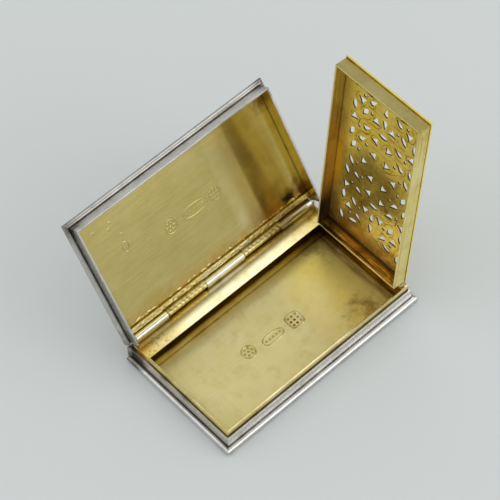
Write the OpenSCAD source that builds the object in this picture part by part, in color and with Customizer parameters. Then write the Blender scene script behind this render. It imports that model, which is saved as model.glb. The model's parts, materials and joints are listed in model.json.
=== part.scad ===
// A rectangular vinaigrette, shown open: a shallow moulded box, a lid hinged along the back
// and a pierced inner grille hinged at the right-hand end, over the well for the sponge.
// Millimetres, +Z up, origin at the middle of the underside of the base.

/* [Box] */
// Length over the base bead
box_l = 40; // [32:0.5:50]
// Depth over the base bead, front to back
box_w = 23.5; // [20:0.1:30]
// Height of the base to its rim
base_h = 3.3; // [2.6:0.1:4.5]
// Thickness of the base plate
floor_t = 0.6; // [0.4:0.05:1]
// Thickness of the lid plate
lid_plate_t = 0.45; // [0.3:0.05:0.8]

/* [Moulding] */
// Radius of the half-round bead along the edges
bead_r = 0.55; // [0.4:0.05:0.7]
// Inset of the flat band behind the face of the bead
band_inset = 0.75; // [0.65:0.05:1.2]
// Depth of the groove between bead and band
groove_d = 0.12; // [0.05:0.01:0.2]
// Height of the groove above the bead
groove_h = 0.12; // [0.05:0.01:0.25]
// Thickness of the lid's band wall
lid_wall_t = 0.3; // [0.25:0.01:0.5]
// Inset of the plain wall at the back of the base behind the face of the bead
back_inset = 0.25; // [0.1:0.05:0.4]

/* [Bezel and hinge ledge] */
// Clearance of the lid's walls round the bezel
lid_clear = 0.06; // [0.04:0.01:0.15]
// Thickness of the bezel strip
bezel_t = 0.35; // [0.25:0.05:0.6]
// Height of the bezel above the base rim
bezel_rise = 1.15; // [0.9:0.05:1.6]
// Width of the hinge ledge in front of the back moulding
ledge_w = 3.35; // [2.6:0.05:5]
// Thickness of the ledge's top plate
ledge_t = 0.5; // [0.3:0.05:0.8]
// Thickness of the ledge's upright walls
ledge_wall_t = 0.4; // [0.25:0.05:0.7]
// Rise of the ledge's crowned top in front of the knuckles
ledge_crown = 0.1; // [0.04:0.01:0.2]

/* [Lid hinge] */
// Outer radius of the lid hinge knuckles
lid_knuckle_r = 0.6; // [0.5:0.02:0.75]
// Radius of the lid hinge pin
lid_pin_r = 0.25; // [0.18:0.01:0.32]
// Inset of the lid hinge axis from the back of the base bead
lid_axis_inset = 0.75; // [0.7:0.01:0.95]
// Gap between the turning knuckles and the ledge
lid_knuckle_lift = 0.35; // [0.1:0.01:0.5]
// Gap between the knuckles and the lid plate
lid_headroom = 0.14; // [0.1:0.01:0.4]
// Length of each end knuckle
lid_end_knuckle_l = 6.5; // [4:0.1:8]
// Gap between the end knuckles and the lid's side walls
lid_hinge_end_gap = 0.62; // [0.3:0.01:0.9]
// Width of the hinge strip inside the lid
lid_strip_w = 0.9; // [0.5:0.05:1.6]
// Height of the hinge strip under the lid plate
lid_strip_h = 0.5; // [0.35:0.05:0.8]
// Depth of the flat side of the lid's knuckles past their axis
lid_flat_drop = 0.42; // [0.3:0.02:0.48]
// Gap from the back strip to the ledge lip that stops the open lid
lid_stop_gap = 0.07; // [0.04:0.01:0.15]
// Angle of the open lid from closed
lid_open = 121; // [95:1:125]

/* [Grille] */
// Thickness of the pierced plate
grille_t = 0.25; // [0.2:0.01:0.5]
// Thickness of the grille's flanges
flange_t = 0.3; // [0.2:0.01:0.5]
// Height of the flanges below the plate
flange_h = 2.3; // [1:0.05:2.5]
// Overhang of the plate past its free-end flange
grille_overhang = 0.3; // [0.2:0.01:0.5]
// Overhang of the plate past its front and rear flanges
grille_side_overhang = 0.1; // [0.06:0.01:0.3]
// Clearance of the flanges inside the bezel and the ledge
grille_clear = 0.1; // [0.08:0.01:0.2]
// Height of the closed plate above the bezel
grille_lift = 0.8; // [0.5:0.05:0.9]

/* [Grille hinge] */
// Width of the hinge rail at the right-hand end
rail_w = 1.25; // [0.9:0.05:2]
// Outer radius of the grille hinge knuckles
grille_knuckle_r = 0.4; // [0.34:0.01:0.5]
// Radius of the grille hinge pin
grille_pin_r = 0.17; // [0.12:0.01:0.2]
// Length of the grille's own knuckle
grille_knuckle_l = 8.2; // [5:0.1:11]
// Gap from the knuckles to the grille's hinge-end flange
grille_standoff = 0.2; // [0.18:0.01:0.4]
// Angle of the open grille from closed
grille_open = 98; // [80:1:100]

/* [Hinge fits] */
// Radial clearance of the hinge pins in their knuckles
pin_clear = 0.03; // [0.01:0.01:0.06]
// Gap between neighbouring knuckles and round turning ones
knuckle_gap = 0.06; // [0.04:0.01:0.12]

/* [Piercing] */
// Plain border between the flanges and the pierced pattern
pierce_margin = 1.6; // [1.2:0.1:2.4]
// Length over the pierced pattern as drawn
pattern_l = 32.1; // [30:0.1:36]
// Width over the pierced pattern as drawn
pattern_w = 13.6; // [12.6:0.1:15]
// Shift of the pattern from the middle of the plate, towards the hinge
pattern_shift_l = -0.2; // [-0.6:0.05:0.6]
// Shift of the pattern from the middle of the plate, towards the ledge
pattern_shift_w = -0.3; // [-0.6:0.05:0.6]
// Reach of the three-cornered holes from their middle to a corner
corner_r = 0.98; // [0.6:0.02:1.1]
// Hollow of the sides of the three-cornered holes
corner_hollow = 0.06; // [0.02:0.01:0.12]
// Length of the leaf-shaped holes
leaf_l = 2.0; // [1.2:0.05:2.2]
// Width of the leaf-shaped holes
leaf_w = 0.85; // [0.5:0.05:0.95]
// Radius of the round end of the drop-shaped holes
drop_r = 0.45; // [0.3:0.01:0.56]
// Length of the drop-shaped holes from the middle of the round end to the point
drop_l = 1.5; // [0.9:0.05:1.6]
// Radius of the small round holes
dot_r = 0.3; // [0.2:0.02:0.36]

/* [Hidden] */
$fn = 48;

silver = [0.80, 0.79, 0.76];
gilt = [0.74, 0.64, 0.34];
eps = 0.01;

// Insets from the outside of the base bead
bezel_out = band_inset + lid_wall_t + lid_clear;
bezel_in = bezel_out + bezel_t;
lid_inner = band_inset + lid_wall_t;

// Levels with the box closed
bezel_top = base_h + bezel_rise;
lid_axis_z = bezel_top + lid_knuckle_lift + lid_knuckle_r;
lid_ceiling = lid_axis_z + lid_knuckle_r + lid_headroom;
closed_h = lid_ceiling + lid_plate_t;
lid_h = closed_h - base_h;
bead_top = 2 * bead_r;

// Lid hinge: the axis lies along X at the back, five knuckles between the lid's side walls
lid_axis_y = box_w / 2 - lid_axis_inset;
lid_hinge_l = box_l - 2 * (lid_inner + lid_hinge_end_gap);
lid_inner_knuckle_l = (lid_hinge_l - 2 * lid_end_knuckle_l) / 3;
lid_turn_r = lid_knuckle_r + knuckle_gap;
lid_strip_back = lid_axis_y - lid_turn_r;
lid_edge_gap = lid_headroom / 2;
lid_edge_rise = lid_knuckle_r + lid_edge_gap;

// The ledge's back lip reaches the underside of the open lid's back edge, less the stop gap
lip_drop = lid_axis_z - bezel_top;
lip_reach = (lid_edge_rise - lid_stop_gap + lip_drop * cos(lid_open)) / sin(lid_open);
ledge_front = box_w / 2 - bezel_out - ledge_w;
ledge_back = lid_axis_y + lip_reach;
ledge_under = bezel_top - ledge_t;
ledge_l = box_l - 2 * bezel_out;

// Grille hinge: the axis lies along Y, on top of the rail and flush with its inner face
rail_face = box_l / 2 - bezel_out - rail_w;
grille_turn_r = grille_knuckle_r + knuckle_gap;
grille_axis_x = rail_face + grille_knuckle_r;
grille_axis_z = bezel_top + grille_turn_r;
rail_front = bezel_in - box_w / 2;
rail_l = ledge_front - rail_front;
grille_mid_y = rail_front + rail_l / 2;
grille_end_knuckle_l = (rail_l - grille_knuckle_l) / 2 - 2 * knuckle_gap;

// Closed grille: the outer faces of its flanges and its levels
tray_left = bezel_in + grille_clear - box_l / 2;
tray_right = rail_face - grille_standoff;
tray_front = rail_front + grille_clear;
tray_rear = ledge_front - grille_clear;
tray_l = tray_right - tray_left;
tray_w = tray_rear - tray_front;
grille_under = bezel_top + grille_lift;

// Piercing: one quarter of the foliage, mirrored about both middle lines of the plate. Each hole has
// its place from the middle as drawn, its turn and its shape.
QUARTER = [
    [0, 3.1, 270, "corner"], [2.6, 1.4, 90, "corner"], [1.85, 5.55, -25, "leaf"],
    [1.55, 4.4, 0, "dot"], [4.1, 4.3, -50, "drop"], [3.75, 3.0, 0, "dot"],
    [4.4, 6.15, -20, "leaf"], [5.9, 1.4, 90, "corner"], [7.0, 3.6, -58, "drop"],
    [6.5, 4.85, 0, "dot"], [7.9, 0, 90, "leaf"], [7.65, 6.0, 135, "corner"],
    [9.9, 1.65, 0, "corner"], [10.25, 4.0, -30, "leaf"], [10.75, 2.72, 0, "dot"],
    [10.2, 6.25, 5, "leaf"], [11.0, 0, 180, "drop"], [12.7, 0, 0, "drop"],
    [12.1, 4.9, 60, "corner"], [13.3, 4.5, 0, "dot"], [12.8, 2.95, -45, "drop"],
    [14.5, 3.7, 65, "leaf"], [15.0, 6.2, -15, "leaf"]
];
field_l = tray_l - 2 * (flange_t + pierce_margin);
field_w = tray_w - 2 * (flange_t + pierce_margin);
tray_mid = [tray_left + tray_l / 2, tray_front + tray_w / 2];
pattern_mid = tray_mid + [pattern_shift_l, pattern_shift_w];
stretch_l = field_l / pattern_l;
stretch_w = field_w / pattern_w;
hole_scale = min(stretch_l, stretch_w);

// Places a bar that runs along +X with its inside towards +Y on side 0 front, 1 right, 2 back, 3 left
// of a rectangle that is l by w about the Z axis
module on_side(i, l, w) {
    sx = (i == 0 || i == 3) ? -1 : 1;
    sy = (i == 0 || i == 1) ? -1 : 1;
    translate([sx * l / 2, sy * w / 2, 0]) rotate(90 * i) children();
}

// A bar of the child's outline, with the outline's x as inset and y as height
module bar(l) {
    rotate([90, 0, 90]) linear_extrude(l) children();
}

// A bar whose ends are mitred over the given depth; start and end say which
module mitred_bar(l, depth, h, start = true, end = true) {
    a = start ? depth : 0;
    b = end ? depth : 0;
    intersection() {
        bar(l) children();
        linear_extrude(h) polygon([[0, 0], [l, 0], [l - b, depth], [a, depth]]);
    }
}

// Half-round bead with the sheet behind its lower half
module bead_section(depth) {
    translate([bead_r, bead_r]) circle(r = bead_r);
    translate([bead_r, 0]) square([depth - bead_r, bead_r]);
}

// Section of the edge moulding: half-round bead, groove and flat band
module moulding_section(depth, h) {
    band_back = band_inset + groove_d;
    band_foot = bead_top + groove_h;
    bead_section(depth);
    translate([band_back, 0]) square([depth - band_back, h]);
    translate([band_inset, band_foot]) square([depth - band_inset, h - band_foot]);
}

module base_moulding(i, l) {
    color(silver) on_side(i, box_l, box_w)
        mitred_bar(l, bezel_out, base_h) moulding_section(bezel_out, base_h);
}

// At the back the wall is plain, and its lip rises to the ledge behind the ends of the lid's sides
module back_section() {
    lip_t = lid_axis_inset - lid_clear - back_inset;
    bead_section(bezel_out);
    translate([back_inset, 0]) square([bezel_out - back_inset, base_h]);
    translate([back_inset, 0]) square([lip_t, ledge_under]);
}

// Puts closed lid parts in their open place
module open_lid() {
    translate([0, lid_axis_y, lid_axis_z]) rotate([-lid_open, 0, 0])
        translate([0, -lid_axis_y, -lid_axis_z]) children();
}

// Puts closed grille parts in their open place
module open_grille() {
    translate([grille_axis_x, 0, grille_axis_z]) rotate([0, grille_open, 0])
        translate([-grille_axis_x, 0, -grille_axis_z]) children();
}

// Turns a moulding over, so that its bead lies along the top of the closed lid
module upside_down() {
    translate([0, 0, closed_h]) mirror([0, 0, 1]) children();
}

module base_plate() {
    color(gilt) translate([-ledge_l / 2, bezel_out - box_w / 2, 0])
        cube([ledge_l, box_w - 2 * bezel_out, floor_t]);
}

module base_front_moulding() { base_moulding(0, box_l); }
module base_right_moulding() { base_moulding(1, box_w); }
module base_back_moulding() {
    color(silver) on_side(2, box_l, box_w) mitred_bar(box_l, bezel_out, ledge_under) back_section();
}
module base_left_moulding() { base_moulding(3, box_w); }

// Bezel strips stand on the base plate against the mouldings and rise above the rim
module bezel_front() {
    color(gilt) translate([0, 0, floor_t]) on_side(0, ledge_l, box_w - 2 * bezel_out)
        mitred_bar(ledge_l, bezel_t, bezel_top, true, false) square([bezel_t, bezel_top - floor_t]);
}

module bezel_left() {
    side_l = ledge_front + box_w / 2 - bezel_out;
    color(gilt) translate([-ledge_l / 2, ledge_front, floor_t]) rotate(270)
        mitred_bar(side_l, bezel_t, bezel_top, false, true) square([bezel_t, bezel_top - floor_t]);
}

// Rail at the right-hand end, which takes the place of the bezel and carries the grille's hinge
module grille_hinge_rail() {
    color(gilt) translate([rail_face, rail_front, floor_t]) cube([rail_w, rail_l, bezel_top - floor_t]);
}

// Low arched strip that crowns the ledge between its front edge and the knuckles
module crown_section() {
    crown_w = lid_axis_y - lid_turn_r - ledge_front;
    crown_r = (crown_w * crown_w / 4 + ledge_crown * ledge_crown) / (2 * ledge_crown);
    intersection() {
        translate([ledge_front + crown_w / 2, bezel_top + ledge_crown - crown_r])
            circle(r = crown_r, $fn = 360);
        translate([ledge_front, bezel_top - ledge_crown]) square([crown_w, 2 * ledge_crown]);
    }
}

// Hollow ledge along the back: a crowned top plate that reaches over the back moulding's rim, a front
// wall down to the base plate, a back wall and closed ends
module hinge_ledge() {
    moulding_face = box_w / 2 - bezel_out;
    hollow_w = moulding_face - ledge_front - 2 * ledge_wall_t;
    color(gilt) translate([-ledge_l / 2, 0, 0]) difference() {
        bar(ledge_l) {
            polygon([
                [ledge_front, floor_t], [moulding_face, floor_t], [moulding_face, base_h],
                [lid_axis_y, base_h], [lid_axis_y, ledge_under], [ledge_back, ledge_under],
                [ledge_back, bezel_top], [ledge_front, bezel_top]
            ]);
            crown_section();
        }
        translate([ledge_wall_t, ledge_front + ledge_wall_t, floor_t - eps])
            cube([ledge_l - 2 * ledge_wall_t, hollow_w, ledge_under - floor_t + eps]);
    }
}

// Ends of lid knuckle k, counted from the left, with the gaps to its neighbours taken off
function lid_knuckle_start(k) =
    k == 0 ? -lid_hinge_l / 2 : lid_end_knuckle_l - lid_hinge_l / 2 + (k - 1) * lid_inner_knuckle_l;
function lid_knuckle_length(k) =
    ((k == 0 || k == 4) ? lid_end_knuckle_l : lid_inner_knuckle_l) - knuckle_gap;

// Bored tube along +X from the origin, with whatever joins it to its leaf
module knuckle(l, r, pin_r) {
    difference() {
        union() {
            rotate([0, 90, 0]) cylinder(r = r, h = l);
            children();
        }
        translate([-eps, 0, 0]) rotate([0, 90, 0]) cylinder(r = pin_r + pin_clear, h = l + 2 * eps);
    }
}

// A fixed knuckle stands on the ledge with a solid foot
module lid_base_knuckle(k) {
    l = lid_knuckle_length(k);
    color(silver) translate([lid_knuckle_start(k) + knuckle_gap / 2, lid_axis_y, lid_axis_z])
        knuckle(l, lid_knuckle_r, lid_pin_r)
            translate([0, -lid_knuckle_r, -lip_drop]) cube([l, lid_knuckle_r + lip_reach, lip_drop]);
}

module lid_hinge_base_knuckle_left() { lid_base_knuckle(0); }
module lid_hinge_base_knuckle_middle() { lid_base_knuckle(2); }
module lid_hinge_base_knuckle_right() { lid_base_knuckle(4); }

module lid_hinge_pin() {
    color(silver) translate([-lid_hinge_l / 2, lid_axis_y, lid_axis_z])
        rotate([0, 90, 0]) cylinder(r = lid_pin_r, h = lid_hinge_l);
}

// A lid knuckle joins the hinge strip inside the lid with a flat-sided web
module lid_lid_knuckle(k) {
    l = lid_knuckle_length(k);
    color(gilt) open_lid()
        translate([lid_knuckle_start(k) + knuckle_gap / 2, lid_axis_y, lid_axis_z])
            knuckle(l, lid_knuckle_r, lid_pin_r)
                translate([0, -lid_turn_r, -lid_flat_drop])
                    cube([l, lid_turn_r, lid_flat_drop + lid_knuckle_r]);
}

module lid_hinge_lid_knuckle_left() { lid_lid_knuckle(1); }
module lid_hinge_lid_knuckle_right() { lid_lid_knuckle(3); }

module lid_hinge_strip() {
    color(gilt) open_lid()
        translate([lid_inner - box_l / 2, lid_strip_back - lid_strip_w, lid_ceiling - lid_strip_h])
            cube([box_l - 2 * lid_inner, lid_strip_w, lid_strip_h]);
}

module lid_plate() {
    color(silver) open_lid() translate([lid_inner - box_l / 2, lid_inner - box_w / 2, lid_ceiling])
        cube([box_l - 2 * lid_inner, box_w - 2 * lid_inner, lid_plate_t]);
}

module lid_front_moulding() {
    color(silver) open_lid() upside_down() on_side(0, box_l, box_w)
        mitred_bar(box_l, lid_inner, lid_h) moulding_section(lid_inner, lid_h);
}

// A side moulding is mitred at the front, and its bead ends in a ball beside the hinge
module lid_side_moulding() {
    side_l = box_w - lid_axis_inset;
    open_lid() upside_down() translate([box_l / 2, -box_w / 2, 0]) rotate(90) {
        mitred_bar(side_l, lid_inner, lid_h, true, false) moulding_section(lid_inner, lid_h);
        intersection() {
            translate([side_l, bead_r, bead_r]) sphere(r = bead_r);
            cube([side_l + bead_r, lid_inner, bead_top]);
        }
    }
}

module lid_right_moulding() { color(silver) lid_side_moulding(); }
module lid_left_moulding() { color(silver) mirror([1, 0, 0]) lid_side_moulding(); }

// The bead's upper part runs along the back, over the knuckles
module lid_back_edge() {
    edge_h = closed_h - lid_axis_z - lid_edge_rise;
    color(silver) open_lid() upside_down() on_side(2, box_l - 2 * lid_inner, box_w)
        bar(box_l - 2 * lid_inner) intersection() {
            union() {
                translate([bead_r, bead_r]) circle(r = bead_r);
                translate([bead_r, 0]) square([lid_inner - bead_r, bead_top]);
            }
            square([lid_inner, edge_h]);
        }
}

// A fixed grille knuckle stands on the rail with a solid foot
module grille_base_knuckle(start) {
    color(gilt) translate([grille_axis_x, start, grille_axis_z]) rotate(90)
        knuckle(grille_end_knuckle_l, grille_knuckle_r, grille_pin_r)
            translate([0, -grille_knuckle_r, -grille_turn_r])
                cube([grille_end_knuckle_l, 2 * grille_knuckle_r, grille_turn_r]);
}

module grille_hinge_base_knuckle_front() {
    grille_base_knuckle(rail_front + knuckle_gap);
}

module grille_hinge_base_knuckle_rear() {
    grille_base_knuckle(ledge_front - knuckle_gap - grille_end_knuckle_l);
}

module grille_hinge_pin() {
    pin_l = rail_l - 2 * knuckle_gap;
    color(gilt) translate([grille_axis_x, rail_front + knuckle_gap, grille_axis_z])
        rotate([-90, 0, 0]) cylinder(r = grille_pin_r, h = pin_l);
}

// The grille's own knuckle joins the hinge-end flange with a web level with the axis
module grille_hinge_grille_knuckle() {
    web = grille_knuckle_r + grille_standoff;
    color(gilt) open_grille()
        translate([grille_axis_x, grille_mid_y - grille_knuckle_l / 2, grille_axis_z]) rotate(90)
            knuckle(grille_knuckle_l, grille_knuckle_r, grille_pin_r)
                cube([grille_knuckle_l, web, grille_knuckle_r]);
}

module grille_flange(i) {
    l = (i == 0 || i == 2) ? tray_l : tray_w;
    color(gilt) open_grille() translate([tray_mid[0], tray_mid[1], grille_under - flange_h])
        on_side(i, tray_l, tray_w) mitred_bar(l, flange_t, flange_h) square([flange_t, flange_h]);
}

module grille_front_flange() { grille_flange(0); }
module grille_hinge_end_flange() { grille_flange(1); }
module grille_rear_flange() { grille_flange(2); }
module grille_free_end_flange() { grille_flange(3); }

// Three-cornered hole with hollow sides, one corner along +X
module corner_hole() {
    side_r = 2 * corner_r;
    difference() {
        circle(r = corner_r, $fn = 3);
        for (a = [60, 180, 300])
            rotate(a) translate([corner_r / 2 + side_r - corner_hollow, 0]) circle(r = side_r);
    }
}

// Leaf-shaped hole along X, pointed at both ends
module leaf_hole() {
    arc_r = (leaf_l * leaf_l + leaf_w * leaf_w) / (4 * leaf_w);
    intersection() {
        translate([0, arc_r - leaf_w / 2]) circle(r = arc_r);
        translate([0, leaf_w / 2 - arc_r]) circle(r = arc_r);
    }
}

// Drop-shaped hole, its point along +X
module drop_hole() {
    slope = asin(drop_r / drop_l);
    circle(r = drop_r);
    polygon([
        [drop_r * sin(slope), drop_r * cos(slope)], [drop_l, 0],
        [drop_r * sin(slope), -drop_r * cos(slope)]
    ]);
}

module pierced_hole(shape) {
    if (shape == "corner") corner_hole();
    if (shape == "leaf") leaf_hole();
    if (shape == "drop") drop_hole();
    if (shape == "dot") circle(r = dot_r);
}

// Both signs of a mirrored place, or one for a hole on the middle line
function sides(place) = place == 0 ? [1] : [-1, 1];

module grille_holes() {
    translate(pattern_mid) for (h = QUARTER, sx = sides(h[0]), sy = sides(h[1]))
        translate([sx * h[0] * stretch_l, sy * h[1] * stretch_w])
            mirror([sx < 0 ? 1 : 0, 0]) mirror([0, sy < 0 ? 1 : 0])
                rotate(h[2]) scale(hole_scale) pierced_hole(h[3]);
}

// Pierced plate, which overhangs the flanges except at the hinge
module grille_plate() {
    color(gilt) open_grille() translate([0, 0, grille_under]) difference() {
        translate([tray_left - grille_overhang, tray_front - grille_side_overhang, 0])
            cube([tray_l + grille_overhang, tray_w + 2 * grille_side_overhang, grille_t]);
        translate([0, 0, -eps]) linear_extrude(grille_t + 2 * eps) grille_holes();
    }
}

base_plate();
base_front_moulding();
base_back_moulding();
base_left_moulding();
base_right_moulding();
bezel_front();
bezel_left();
grille_hinge_rail();
hinge_ledge();
lid_hinge_base_knuckle_left();
lid_hinge_base_knuckle_middle();
lid_hinge_base_knuckle_right();
lid_hinge_pin();
grille_hinge_base_knuckle_front();
grille_hinge_base_knuckle_rear();
grille_hinge_pin();
lid_plate();
lid_front_moulding();
lid_left_moulding();
lid_right_moulding();
lid_back_edge();
lid_hinge_strip();
lid_hinge_lid_knuckle_left();
lid_hinge_lid_knuckle_right();
grille_plate();
grille_front_flange();
grille_rear_flange();
grille_free_end_flange();
grille_hinge_end_flange();
grille_hinge_grille_knuckle();
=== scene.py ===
import json
import math
import random
from collections import namedtuple

import bpy
from mathutils import Matrix, Vector
from mathutils.bvhtree import BVHTree

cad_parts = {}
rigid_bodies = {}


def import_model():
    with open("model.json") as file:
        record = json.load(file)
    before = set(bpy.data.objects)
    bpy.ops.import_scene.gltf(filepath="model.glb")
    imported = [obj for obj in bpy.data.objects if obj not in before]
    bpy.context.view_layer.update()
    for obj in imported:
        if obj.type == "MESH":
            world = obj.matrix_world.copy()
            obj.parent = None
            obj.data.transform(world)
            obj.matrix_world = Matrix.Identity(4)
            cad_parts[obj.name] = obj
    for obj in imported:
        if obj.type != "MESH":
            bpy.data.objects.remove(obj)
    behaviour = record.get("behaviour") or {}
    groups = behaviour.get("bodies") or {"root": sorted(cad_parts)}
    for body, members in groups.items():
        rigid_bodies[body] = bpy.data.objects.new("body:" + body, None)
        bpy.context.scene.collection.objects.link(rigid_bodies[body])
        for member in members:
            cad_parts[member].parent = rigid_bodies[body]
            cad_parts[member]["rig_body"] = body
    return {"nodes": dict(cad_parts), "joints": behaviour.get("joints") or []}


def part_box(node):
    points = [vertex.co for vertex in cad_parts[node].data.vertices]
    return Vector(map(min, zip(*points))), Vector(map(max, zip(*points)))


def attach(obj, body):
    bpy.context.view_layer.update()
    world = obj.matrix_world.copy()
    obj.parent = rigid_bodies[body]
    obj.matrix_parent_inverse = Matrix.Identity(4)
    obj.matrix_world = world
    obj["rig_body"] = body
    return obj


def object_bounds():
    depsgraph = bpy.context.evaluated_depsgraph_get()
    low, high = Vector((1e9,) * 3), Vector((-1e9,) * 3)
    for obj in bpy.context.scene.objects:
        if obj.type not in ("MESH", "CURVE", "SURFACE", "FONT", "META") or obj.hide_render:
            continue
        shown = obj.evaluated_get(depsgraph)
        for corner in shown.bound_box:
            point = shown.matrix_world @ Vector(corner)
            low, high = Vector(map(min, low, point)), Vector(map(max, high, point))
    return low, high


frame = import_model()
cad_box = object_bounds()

# Looks of an open silver vinaigrette, gilt inside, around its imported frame. Metres, +Z up.
# Marks are placed in mm as on the closed box, where every face lies along an axis. They turn open
# with the body that carries them.
MM = 0.001

# Camera, fitted to the photograph's 500 by 500 pixels
IMAGE_PX = 500
FOCAL_PX = 2382.7
SENSOR_MM = 36
CAMERA_AZIMUTH = -38.2
CAMERA_ELEVATION = 56.04
CAMERA_ROLL = -4.98
CAMERA_DISTANCE = 379.2 * MM
CAMERA_TARGET = Vector((7.58, 13.69, 0)) * MM

# Floor and light
FLOOR_SIZE = 3.0
FLOOR_GAP = 0.01 * MM
FLOOR_ALBEDO = (0.66, 0.695, 0.69)
FLOOR_GREY = (0.5, 0.5, 0.5)
FLOOR_NOISE_SCALE = 4.0
FLOOR_MOTTLING = (0.3, 0.7, 0.0, 0.03)
SKY_TOP = (0.64, 0.645, 0.63)
SKY_HORIZON = (0.50, 0.50, 0.485)
SKY_FRONT = (0.20, 0.185, 0.16)
SKY_RISE = (0.0, 0.8)
SKY_FRONT_SIDE = (-0.1, -0.6)
SKY_FRONT_RISE = (0.5, 0.75)
WORLD_LIGHT = 0.73
LAMP_DISTANCE = 0.55
Lamp = namedtuple("Lamp", "name azimuth elevation size radiance")
LAMPS = (Lamp("left_box", -128, 42, 0.5, 0.45),
         Lamp("right_box", 52, 42, 0.5, 0.45),
         Lamp("front_box", 22, 24, 0.32, 1.25),
         Lamp("ledge_box", 124, 63, 0.20, 0.88))

# How far each body is turned open at rest, in degrees about its joint's axis
OPENED = {"lid": -121.0, "grille": 98.0}

# Ways that a face looks on the closed box, and the way across the file marks of the lid's hinge tubes
UP, DOWN = (0, 0, 1), (0, 0, -1)
FRONT, BACK = (0, -1, 0), (0, 1, 0)
LEFT, RIGHT = (-1, 0, 0), (1, 0, 0)
TUBE_UPPER = (0, 0.884, 0.468)
FILING_WAY = (0.42, 0.0, 0.91)

# Heights on the closed box at which the spots of a face are centred, in mm
FLOOR_Z = 0.6
LEDGE_Z = 4.5
GRILLE_Z = 5.25
LID_Z = 6.1

# Edges of the sheet metal
EDGE_ROUND = 0.05 * MM
PIERCED_EDGE_ROUND = 0.09 * MM
EDGE_SEGMENTS = 3
WELD = 0.0005 * MM
COPLANAR = math.radians(0.5)
SHARP = math.radians(30)
NORMAL_WEIGHT = 50

# Metal tones: the plain surface, where it is rubbed pale, and where it is deep or stained
Tone = namedtuple("Tone", "base pale deep")
SILVER = Tone((0.80, 0.785, 0.76), (0.90, 0.89, 0.875), (0.55, 0.52, 0.48))
LID_SILVER = Tone((0.54, 0.525, 0.495), (0.68, 0.67, 0.645), (0.34, 0.32, 0.285))
FLOOR_GILT = Tone((0.73, 0.635, 0.28), (0.77, 0.69, 0.36), (0.65, 0.52, 0.19))
# Lit gold: painted light, for gilt faces that are to look more brightly lit
LIT_GILT = Tone((0.99, 0.79, 0.20), (1.0, 0.86, 0.32), (0.92, 0.66, 0.12))
LID_GILT = Tone((0.62, 0.525, 0.18), (0.69, 0.60, 0.25), (0.54, 0.42, 0.12))
# Pale gold of a painted reflection inside the lid
PAINTED_REFLECTION_GILT = Tone((0.95, 0.89, 0.45), (0.97, 0.92, 0.54), (0.85, 0.75, 0.33))
DEEP_GILT = Tone((0.52, 0.375, 0.075), (0.62, 0.48, 0.14), (0.36, 0.24, 0.05))
# Cream: painted highlights and painted reflections
CREAM = Tone((0.92, 0.84, 0.47), (0.96, 0.90, 0.58), (0.78, 0.64, 0.26))
GLOW = Tone((0.98, 0.58, 0.02), (1.0, 0.70, 0.08), (0.70, 0.34, 0.01))
PIERCED_GILT = Tone((0.98, 0.78, 0.14), (1.0, 0.87, 0.28), (0.80, 0.55, 0.06))
SHADED_GILT = Tone((0.22, 0.145, 0.022), (0.34, 0.25, 0.055), (0.14, 0.09, 0.016))
# Dark gold of a painted reflection of the grille inside the lid
GRILLE_REFLECTION_DARK = Tone((0.26, 0.185, 0.045), (0.40, 0.30, 0.09), (0.13, 0.085, 0.02))
# Dusk: painted shade on the bezels' outer faces
DUSK = Tone((0.21, 0.185, 0.13), (0.34, 0.30, 0.22), (0.11, 0.095, 0.065))
EDGE_GILT = Tone((0.80, 0.70, 0.36), (0.90, 0.83, 0.55), (0.58, 0.42, 0.14))
STRIP_GILT = Tone((0.80, 0.65, 0.20), (0.87, 0.76, 0.36), (0.62, 0.42, 0.09))
FLANGE_GILT = Tone((0.83, 0.71, 0.29), (0.90, 0.80, 0.42), (0.58, 0.44, 0.14))
END_GILT = Tone((0.50, 0.42, 0.16), (0.62, 0.54, 0.26), (0.36, 0.27, 0.08))
KNUCKLE_GILT = Tone((0.66, 0.55, 0.20), (0.82, 0.72, 0.38), (0.42, 0.30, 0.08))
BROWN = Tone((0.16, 0.085, 0.02), (0.34, 0.19, 0.04), (0.05, 0.028, 0.010))
RUST_GILT = Tone((0.50, 0.27, 0.035), (0.70, 0.46, 0.10), (0.26, 0.12, 0.015))
ORANGE = Tone((0.62, 0.33, 0.05), (0.74, 0.48, 0.12), (0.36, 0.16, 0.02))
# Near black: soot and dirt in some places, painted shade in others
SOOT_AND_SHADE = Tone((0.035, 0.024, 0.012), (0.10, 0.06, 0.02), (0.012, 0.009, 0.006))
TARNISH = Tone((0.12, 0.105, 0.09), (0.32, 0.29, 0.26), (0.045, 0.04, 0.035))

# Plain colours of the soil on each metal
GILT_STAIN = (0.40, 0.23, 0.045)
GILT_DIRT = (0.055, 0.032, 0.012)
SILVER_STAIN = (0.36, 0.34, 0.30)
SILVER_DIRT = (0.07, 0.062, 0.052)

# Noises in the metals: scales in 1/m, and the wave's height beside that of the polishing lines
CLOUD_SCALE = 160.0
PATCH_SCALE = 520.0
WAVE_SCALE = 70.0
LUMP_SCALE = 1600.0
WAVE_HEIGHT = 12.0

# Levels in the metals: low and high of what is measured, then what they become. Shares: of a finish's
# roughness, and of the pale tone at a glancing look.
PATCH_LEVELS = (0.3, 0.7)
PALE_LEVELS = (0.38, 0.70, 0.0, 0.8)
DEEP_LEVELS = (0.50, 0.78, 0.0, 0.7)
LINE_LEVELS = (0.3, 0.75, 0.96, 1.03)
ROUGH_LEVELS = (0.7, 1.3)
ROUGH_SHARES = (0.88, 1.2)
GLANCING_SHARE = 0.5

# Hollows: how far round a point they are looked for, and the levels of the open sky there
STAIN_REACH = 2.5 * MM
STAIN_HOLLOW = (0.3, 0.95, 1.0, 0.0)
STAIN_PATCH = (0.3, 0.6, 0.5, 1.0)
DIRT_REACH = 0.45 * MM
DIRT_HOLLOW = (0.25, 0.85, 1.0, 0.0)
DIRT_PATCH = (0.3, 0.6, 0.6, 1.0)
OCCLUSION_SAMPLES = 8

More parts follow.
